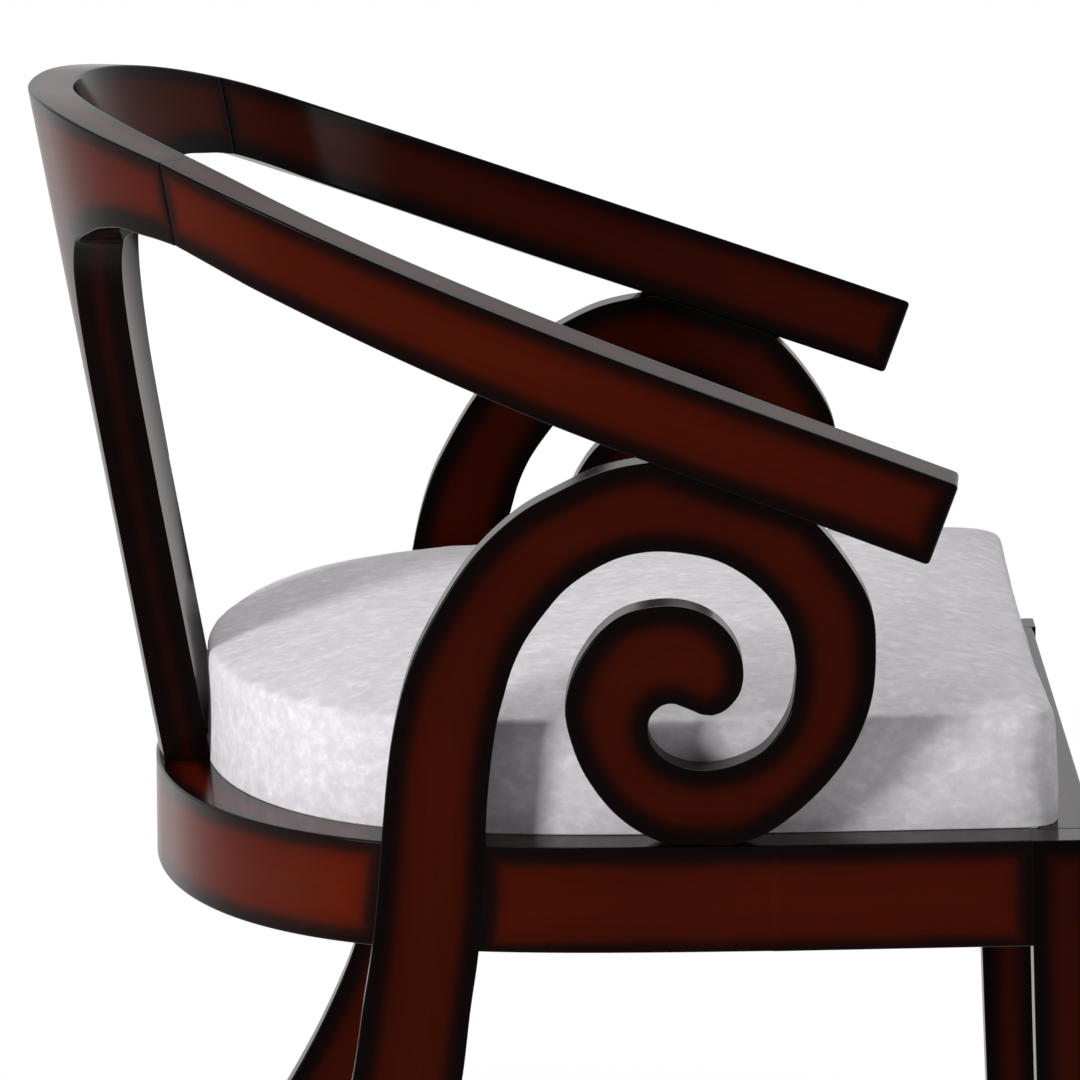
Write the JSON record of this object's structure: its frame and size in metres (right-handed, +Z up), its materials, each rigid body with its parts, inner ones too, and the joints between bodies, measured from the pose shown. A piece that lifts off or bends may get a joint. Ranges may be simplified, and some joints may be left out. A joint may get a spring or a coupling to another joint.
{
  "type": "klismos chair",
  "caption": "Armchair with a horseshoe back swept into arms on flat-sawn scrolls that run down as sabre legs, a flared splat and a boxed velvet seat cushion",
  "frame": {"origin": "on the floor, under the middle of the whole chair's own box", "axes": "+X to the sitter's left, +Y to the back of the chair, +Z up"},
  "size_m": [0.588, 0.594, 0.785],
  "materials": {
    "lacquer": "glossy red-brown mahogany lacquer, shaded to black along every edge",
    "birch": "bare birch, unseen",
    "velvet": "crushed velvet, silver white",
    "screw_steel": "plated steel",
    "glide_nylon": "satin black"
  },
  "bodies": {
    "root": {"crest_splat": "lacquer", "arm_left": "lacquer", "arm_right": "lacquer", "scroll_leg_left": "lacquer", "scroll_leg_right": "lacquer", "leg_front_left": "lacquer", "leg_front_right": "lacquer", "rail_back": "lacquer", "rail_side_left": "lacquer", "rail_side_right": "lacquer", "rail_front": "lacquer", "seat_board": "birch", "seat_cushion": "velvet", "corner_block_front_left": "birch", "corner_block_front_right": "birch", "corner_block_rear_left": "birch", "corner_block_rear_right": "birch", "splat_tenon": "birch", "dowel_crest_1_left": "birch", "dowel_crest_1_right": "birch", "dowel_crest_2_left": "birch", "dowel_crest_2_right": "birch", "dowel_scroll_top_1_left": "birch", "dowel_scroll_top_1_right": "birch", "dowel_scroll_top_2_left": "birch", "dowel_scroll_top_2_right": "birch", "dowel_scroll_foot_left": "birch", "dowel_scroll_foot_right": "birch", "dowel_side_front_1_left": "birch", "dowel_side_front_1_right": "birch", "dowel_side_front_2_left": "birch", "dowel_side_front_2_right": "birch", "dowel_front_rail_1_left": "birch", "dowel_front_rail_1_right": "birch", "dowel_front_rail_2_left": "birch", "dowel_front_rail_2_right": "birch", "dowel_side_rear_1_left": "birch", "dowel_side_rear_1_right": "birch", "dowel_side_rear_2_left": "birch", "dowel_side_rear_2_right": "birch", "dowel_back_rail_1_left": "birch", "dowel_back_rail_1_right": "birch", "dowel_back_rail_2_left": "birch", "dowel_back_rail_2_right": "birch", "screw_block_front_left": "screw_steel", "screw_block_front_right": "screw_steel", "screw_block_rear_left": "screw_steel", "screw_block_rear_right": "screw_steel", "screw_board_front_left": "screw_steel", "screw_board_front_right": "screw_steel", "screw_board_rear_left": "screw_steel", "screw_board_rear_right": "screw_steel", "glide_front_left": "glide_nylon", "glide_front_right": "glide_nylon", "glide_rear_left": "glide_nylon", "glide_rear_right": "glide_nylon"}
  },
  "joints": []
}
